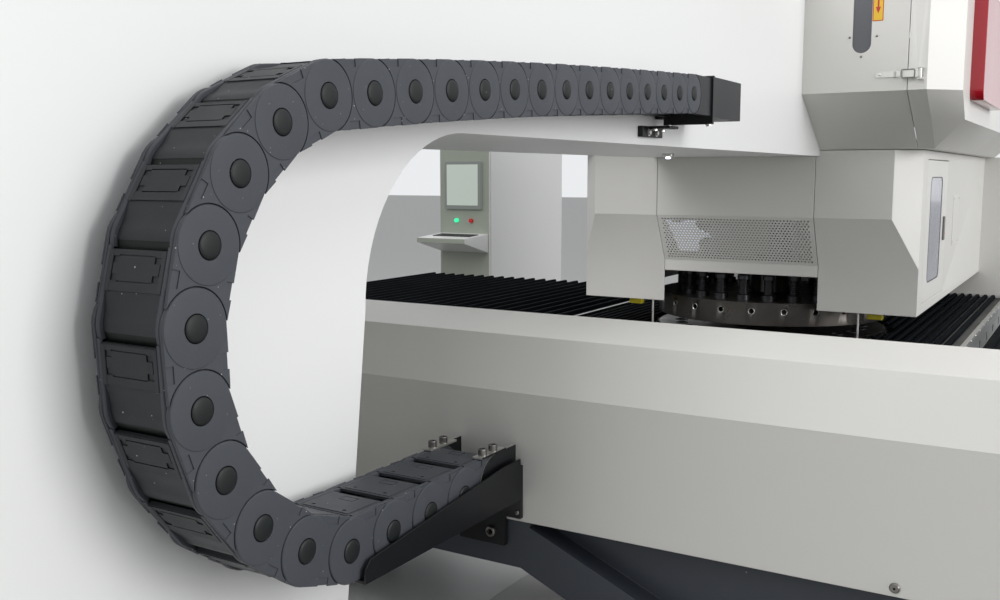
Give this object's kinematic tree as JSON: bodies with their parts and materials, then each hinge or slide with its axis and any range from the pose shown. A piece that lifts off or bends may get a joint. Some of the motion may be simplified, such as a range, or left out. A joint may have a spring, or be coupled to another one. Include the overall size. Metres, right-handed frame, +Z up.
{
  "type": "cnc turret punch press",
  "caption": "Closed-frame sheet metal punch press with rotating turrets under a hood, a travelling clamp beam, brush tables and a drag chain.",
  "frame": {"origin": "on the floor, straight below the punching station, at the underside of the levelling foot there", "axes": "+X along the beam, +Y from the turret to the rear column, +Z up"},
  "size_m": [5.345, 6.789, 2.23],
  "materials": {
    "white_paint": "smooth white enamel with a faint texture",
    "base_paint": "light grey enamel",
    "grey_paint": "warm light grey enamel, fine texture",
    "door_paint": "off-white enamel",
    "bare_steel": "machined steel",
    "ground_steel": "ground steel",
    "motor_black": "satin black enamel",
    "table_steel": "steel plate",
    "brush": "black brush strips",
    "window": "tinted acrylic",
    "zinc": "zinc plated steel",
    "badge_red": "red enamel",
    "arrow_yellow": "yellow plate",
    "turret_steel": "dark turned steel with oil film",
    "tool_steel": "blackened tool steel",
    "casting_paint": "dusty dark blue grey enamel",
    "carriage_paint": "dark enamel",
    "jaw_steel": "hardened steel",
    "chain_plastic": "charcoal glass filled nylon",
    "black_sheet": "satin black enamel on folded sheet",
    "screw_steel": "oxidised socket screws",
    "console_paint": "light grey enamel",
    "screen": "display glass",
    "button_red": "red button",
    "button_green": "green button"
  },
  "bodies": {
    "frame": {"main_frame": "white_paint", "base_wings": "base_paint", "levelling_feet": "bare_steel", "y_rails": "ground_steel", "y_motor": "motor_black", "centre_table": "table_steel", "centre_brushes": "brush", "table_edge_strips": "ground_steel", "hood_left": "grey_paint", "hood_middle": "grey_paint", "hood_right": "grey_paint", "front_guards": "grey_paint", "head_cover_left": "grey_paint", "head_cover_right": "grey_paint", "head_window_left": "window", "head_window_right": "window", "latch_keepers": "zinc", "arrow_plate": "arrow_yellow", "ram_drive": "bare_steel", "turret_motor": "motor_black", "chain_upper_run": "chain_plastic", "cable_box": "black_sheet", "chain_foot": "black_sheet", "operator_console": "console_paint", "console_screen": "screen"},
    "beam": {"beam_casting": "casting_paint", "beam_cover": "grey_paint", "side_table_left": "brush", "side_table_right": "brush", "x_rails": "ground_steel", "chain_lower_run": "chain_plastic", "chain_tray": "black_sheet", "chain_end_brackets": "zinc", "socket_screws": "screw_steel"},
    "loop": {"chain_loop": "chain_plastic"},
    "carriage": {"carriage": "carriage_paint", "x_motor": "motor_black", "clamp_bodies": "bare_steel"},
    "x_pinion": {"x_pinion": "ground_steel"},
    "jaw_1": {"clamp_jaw_1": "jaw_steel"},
    "jaw_2": {"clamp_jaw_2": "jaw_steel"},
    "jaw_3": {"clamp_jaw_3": "jaw_steel"},
    "y_screw": {"y_screw": "ground_steel"},
    "upper_turret": {"upper_turret": "turret_steel", "punches": "tool_steel"},
    "lower_turret": {"lower_turret": "turret_steel", "dies": "tool_steel"},
    "station_punch": {"station_punch": "tool_steel"},
    "ram": {"ram": "ground_steel"},
    "hood_door_left": {"hood_door_left": "door_paint", "hood_window_left": "window"},
    "hood_door_right": {"hood_door_right": "door_paint", "hood_window_right": "window"},
    "head_door_left": {"head_door_left": "door_paint", "badge_plate": "badge_red"},
    "head_door_right": {"head_door_right": "door_paint"},
    "latch_left": {"latch_lever_left": "zinc"},
    "latch_right": {"latch_lever_right": "zinc"},
    "stop_button": {"stop_button": "button_red"},
    "start_button": {"start_button": "button_green"}
  },
  "joints": [
    {"name": "beam_slide", "type": "slide", "parent": "frame", "child": "beam", "axis": [0, -1, 0], "range_m": [0, 1.7], "deforming": ["chain_upper_run", "chain_lower_run"]},
    {"name": "loop_slide", "type": "slide", "parent": "beam", "child": "loop", "axis": [0, 1, 0], "range_m": [0, 0.85]},
    {"name": "y_screw_spin", "type": "hinge", "parent": "frame", "child": "y_screw", "pos_m": [0, 1, 0.886], "axis": [0, 1, 0], "range_deg": [0, 15300]},
    {"name": "carriage_slide", "type": "slide", "parent": "beam", "child": "carriage", "axis": [1, 0, 0], "range_m": [-1.25, 1.25]},
    {"name": "x_pinion_spin", "type": "hinge", "parent": "carriage", "child": "x_pinion", "pos_m": [0, 2.15, 1.15], "axis": [0, 1, 0], "range_deg": [-2400, 2400]},
    {"name": "jaw_1_turn", "type": "hinge", "parent": "carriage", "child": "jaw_1", "pos_m": [-0.45, 2.07, 1.012], "axis": [1, 0, 0], "range_deg": [0, 6], "stiffness_Nm_per_rad": 40},
    {"name": "jaw_2_turn", "type": "hinge", "parent": "carriage", "child": "jaw_2", "pos_m": [0, 2.07, 1.012], "axis": [1, 0, 0], "range_deg": [0, 6], "stiffness_Nm_per_rad": 40},
    {"name": "jaw_3_turn", "type": "hinge", "parent": "carriage", "child": "jaw_3", "pos_m": [0.45, 2.07, 1.012], "axis": [1, 0, 0], "range_deg": [0, 6], "stiffness_Nm_per_rad": 40},
    {"name": "upper_turret_spin", "type": "hinge", "parent": "frame", "child": "upper_turret", "pos_m": [0, -0.356, 1.05], "axis": [0, 0, 1], "continuous": true},
    {"name": "lower_turret_spin", "type": "hinge", "parent": "frame", "child": "lower_turret", "pos_m": [0, -0.356, 0.92], "axis": [0, 0, 1], "continuous": true},
    {"name": "ram_stroke", "type": "slide", "parent": "frame", "child": "ram", "axis": [0, 0, -1], "range_m": [0, 0.04]},
    {"name": "station_punch_stroke", "type": "slide", "parent": "upper_turret", "child": "station_punch", "axis": [0, 0, -1], "range_m": [0, 0.034], "stiffness_N_per_m": 4000, "springref_m": -0.012},
    {"name": "hood_door_left_swing", "type": "hinge", "parent": "frame", "child": "hood_door_left", "pos_m": [-0.625, -0.0203, 1.35], "axis": [0, 0, -1], "range_deg": [0, 100]},
    {"name": "hood_door_right_swing", "type": "hinge", "parent": "frame", "child": "hood_door_right", "pos_m": [0.625, -0.0203, 1.35], "axis": [0, 0, 1], "range_deg": [0, 100]},
    {"name": "head_door_left_swing", "type": "hinge", "parent": "frame", "child": "head_door_left", "pos_m": [-0.765, -0.898, 1.9], "axis": [0, 0, 1], "range_deg": [0, 100]},
    {"name": "head_door_right_swing", "type": "hinge", "parent": "frame", "child": "head_door_right", "pos_m": [0.765, -0.898, 1.9], "axis": [0, 0, -1], "range_deg": [0, 100]},
    {"name": "latch_left_turn", "type": "hinge", "parent": "head_door_left", "child": "latch_left", "pos_m": [-0.655, 0.438, 1.858], "axis": [0, 0, 1], "range_deg": [0, 110]},
    {"name": "latch_right_turn", "type": "hinge", "parent": "head_door_right", "child": "latch_right", "pos_m": [0.655, 0.438, 1.858], "axis": [0, 0, -1], "range_deg": [0, 110]},
    {"name": "stop_button_press", "type": "slide", "parent": "frame", "child": "stop_button", "axis": [0, -1, 0], "range_m": [0, 0.006], "stiffness_N_per_m": 600, "springref_m": -0.002},
    {"name": "start_button_press", "type": "slide", "parent": "frame", "child": "start_button", "axis": [0, -1, 0], "range_m": [0, 0.006], "stiffness_N_per_m": 600, "springref_m": -0.002}
  ],
  "couplings": [
    {"joint": "loop_slide", "follows": "beam_slide", "ratio": 0.5},
    {"joint": "y_screw_spin", "follows": "beam_slide", "rad_per_m": 157.08},
    {"joint": "x_pinion_spin", "follows": "carriage_slide", "rad_per_m": 33.333},
    {"joint": "lower_turret_spin", "follows": "upper_turret_spin", "ratio": 1}
  ]
}
